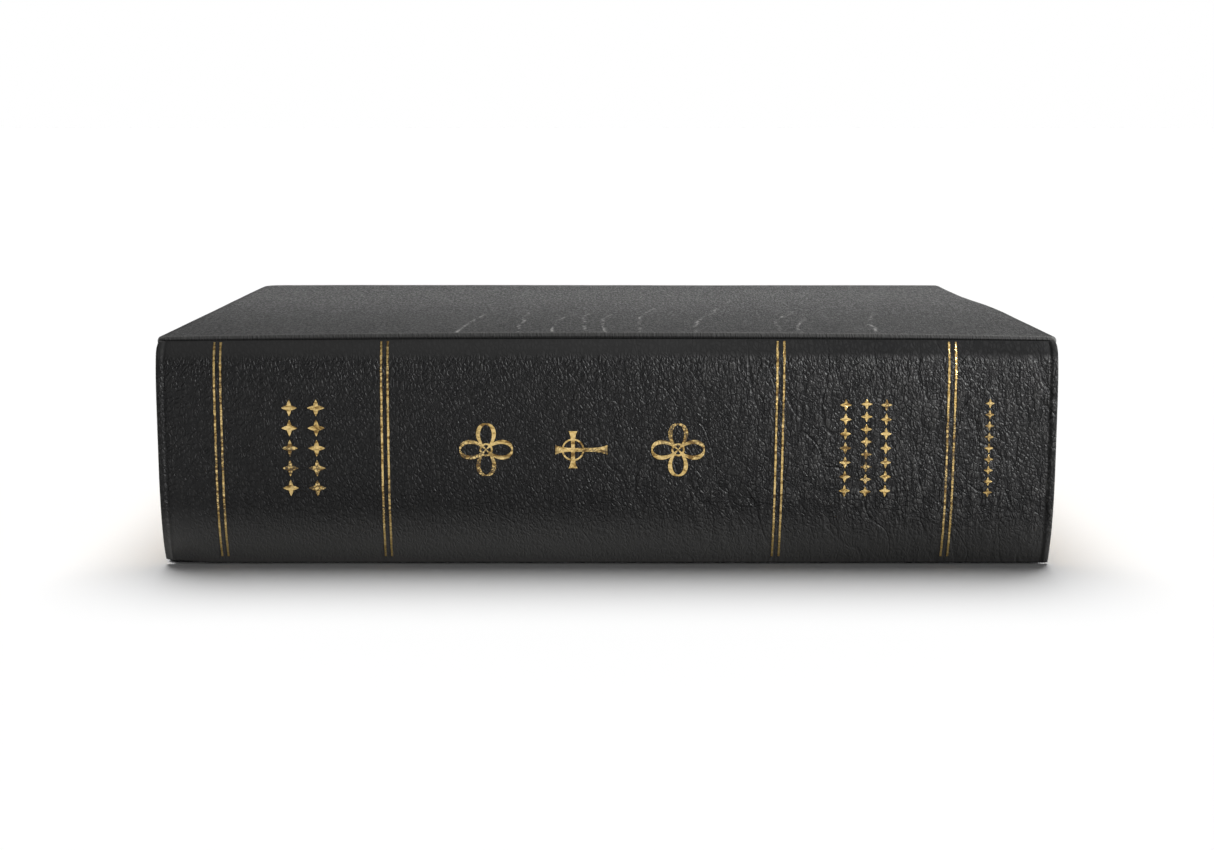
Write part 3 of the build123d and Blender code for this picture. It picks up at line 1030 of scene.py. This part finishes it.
def grey_board():
    g = Graph("grey_board")
    flecks = g.noise(g.position(), 900.0, 4.0, 0.7)
    return plain(g, flecks, (0.30, 0.27, 0.23), (0.50, 0.46, 0.39), 0.9, 0.4, 0.1 * MM)


def kraft_paper():
    g = Graph("kraft_lining")
    fibres = g.noise(g.position((1.0, 1.0, 0.3)), 1200.0, 4.0, 0.7)
    return plain(g, fibres, (0.33, 0.22, 0.12), (0.52, 0.38, 0.23), 0.85, 0.4, 0.06 * MM)


def open_weave():
    """The open cotton cloth glued over the backs of the sections."""
    g = Graph("super_weave")
    split = g.parts(g.position())
    threads = []
    threads_per_metre = 900.0
    for axis in ("X", "Z"):
        wave = g.math("SINE", g.times(split[axis], 2 * math.pi * threads_per_metre))
        threads.append(g.ramp(wave, -0.2, 0.9))
    weave = g.max(threads[0], threads[1])
    return plain(g, weave, (0.36, 0.33, 0.26), (0.80, 0.78, 0.70), 0.9, 0.7, 0.15 * MM)


def twisted_thread():
    g = Graph("sewing_thread")
    twist = g.noise(g.position((1.0, 1.0, 1.6)), 1600.0, 2.0)
    return plain(g, twist, (0.68, 0.66, 0.60), (0.90, 0.88, 0.82), 0.7, 0.6, 0.08 * MM)


def band_silk():
    """Silk worked in turns of black and gold over the core of the band."""
    g = Graph("band_silk")
    split = g.parts(g.grain())
    stripes_per_metre = 330.0
    threads_per_stripe = 6
    turn = g.math("FRACT", g.times(split["Y"], stripes_per_metre))
    stripe = g.times(g.ramp(turn, 0.46, 0.52), g.ramp(turn, 0.94, 1.0, 1.0, 0.0))
    threads = 2 * math.pi * stripes_per_metre * threads_per_stripe
    thread = g.math("SINE", g.times(split["Y"], threads))
    colour = g.mix(stripe, (0.02, 0.02, 0.022, 1), (0.66, 0.46, 0.13, 1))
    g.set(Base_Color=colour, Roughness=0.45, Sheen_Weight=0.3, Normal=g.bump(thread, 0.7, 0.1 * MM))
    return g.material


def ribbon_satin():
    g = Graph("ribbon_satin")
    split = g.parts(g.grain())
    threads_per_metre = 3200.0
    weft = g.math("SINE", g.times(split["Y"], 2 * math.pi * threads_per_metre))
    edge = g.ramp(g.abs(split["X"]), 2.45 * MM, 2.6 * MM)
    slow = g.noise(g.grain(), 120.0, 2.0)
    colour = g.mix(slow, (0.022, 0.022, 0.024, 1), (0.045, 0.044, 0.046, 1))
    g.set(Base_Color=colour, Roughness=g.ramp(slow, 0.3, 0.7, 0.32, 0.45), Sheen_Weight=0.2,
          Normal=g.bump(g.plus(g.times(weft, 0.5), edge), 0.6, 0.05 * MM))
    return g.material


# camera, light and floor

def camera():
    """The eye is level with the middle of the spine, in front of it and a little above the cover."""
    distance = 0.5181
    height = 0.0566
    pitch = 8.8
    data = bpy.data.cameras.new("camera")
    data.lens = 57.65
    data.sensor_width = 36.0
    data.sensor_fit = "HORIZONTAL"
    eye = bpy.data.objects.new("camera", data)
    eye.location = (0.0, COVER_EDGE - distance, TOP + height)
    eye.rotation_euler = (math.radians(90 - pitch), 0, 0)
    add(eye)
    bpy.context.scene.camera = eye


def side_light():
    """A lamp low on the right, which picks out the grain of the leather."""
    place = Vector((0.46, -0.26, 0.29))
    aim = Vector((0.06, -0.08, 0.03))
    data = bpy.data.lights.new("side", "AREA")
    data.size = 0.14
    data.energy = 6.3
    lamp = bpy.data.objects.new("side", data)
    lamp.location = place
    lamp.rotation_mode = "QUATERNION"
    lamp.rotation_quaternion = (aim - place).to_track_quat("-Z", "Y")
    add(lamp)
    return lamp


def keep_off(lamp, floor):
    """Keeps a lamp off the floor, as a flag does in a studio, and stops its bounces."""
    lamp.data.cycles.max_bounces = 0
    shaded = bpy.data.collections.new("shaded_floor")
    shaded.objects.link(floor)
    lamp.light_linking.receiver_collection = shaded
    shaded.collection_objects[0].light_linking.link_state = "EXCLUDE"


def overhead_light():
    """A broad, even softbox high above and a little behind the book."""
    data = bpy.data.lights.new("overhead", "SUN")
    data.energy = 3.2
    data.angle = math.radians(48)
    lamp = bpy.data.objects.new("overhead", data)
    lamp.rotation_euler = (math.radians(-22), 0, 0)
    add(lamp)


def surroundings():
    """A dim room with a band of white wall near the horizon."""
    world = bpy.data.worlds.new("studio")
    world.use_nodes = True
    tree = world.node_tree
    place = tree.nodes.new("ShaderNodeTexCoord")
    split = tree.nodes.new("ShaderNodeSeparateXYZ")
    tree.links.new(place.outputs["Generated"], split.inputs[0])
    fade = tree.nodes.new("ShaderNodeMapRange")
    fade.interpolation_type = "SMOOTHSTEP"
    for name, value in (("From Min", 0.16), ("From Max", 0.34), ("To Min", 1.0), ("To Max", 0.07)):
        fade.inputs[name].default_value = value
    tree.links.new(split.outputs["Z"], fade.inputs["Value"])
    tree.links.new(fade.outputs["Result"], tree.nodes["Background"].inputs["Strength"])
    tree.nodes["Background"].inputs["Color"].default_value = (1, 1, 1, 1)
    bpy.context.scene.world = world


def studio():
    """Soft light from above, a harder light from the side, and a plain pale floor."""
    surroundings()
    bpy.context.scene.view_settings.view_transform = "Standard"
    overhead_light()
    side = side_light()
    g = Graph("floor")
    g.set(Base_Color=(0.95, 0.95, 0.95, 1), Roughness=0.9, Specular_IOR_Level=0.0)
    reach = 60.0
    corners = [(-reach, -reach, 0), (reach, -reach, 0), (reach, reach, 0), (-reach, reach, 0)]
    floor = new_object("floor", corners, [(0, 1, 2, 3)], materials=[g.material])
    keep_off(side, floor)


camera()
studio()

cover_hide = cover_leather()

front_cover = cover_skin("front_cover_skin", cover_hide, False)
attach(front_cover, "front_cover")
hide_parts("front_cover_leather")

back_cover = cover_skin("back_cover_skin", cover_hide, True)
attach(back_cover, "back_half")
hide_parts("back_cover_leather")

spine = spine_skin(spine_leather())
ride_spine(spine)
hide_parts("spine_leather")

front_joint(cover_hide)
back_joint(cover_hide)

endpaper = paper("endpaper", (0.57, 0.52, 0.41))
leaf_tint = (0.66, 0.62, 0.52)
text_block(paper("leaf_paper", leaf_tint), gilt_edges(), printed_paper(leaf_tint))
flyleaf("front_flyleaf", "front_half", endpaper)
flyleaf("back_flyleaf", "back_half", endpaper)
pastedown("front_pastedown", "front_cover", endpaper)
pastedown("back_pastedown", "back_half", endpaper)
front_endpaper_fold(endpaper)

silk = band_silk()
worked_band("head_band", silk)
worked_band("tail_band", silk)
ribbon(ribbon_satin())

gold = gold_foil()
gold_rules(gold)
gold_ornaments(gold)

board = grey_board()
board_sheet("front_board", "front_cover", board, False)
board_sheet("back_board", "back_half", board, True)
carried_over("spine_inlay", board)
carried_over("spine_lining", kraft_paper())
carried_over("super_cloth", open_weave())
carried_over("sewing_thread", twisted_thread())
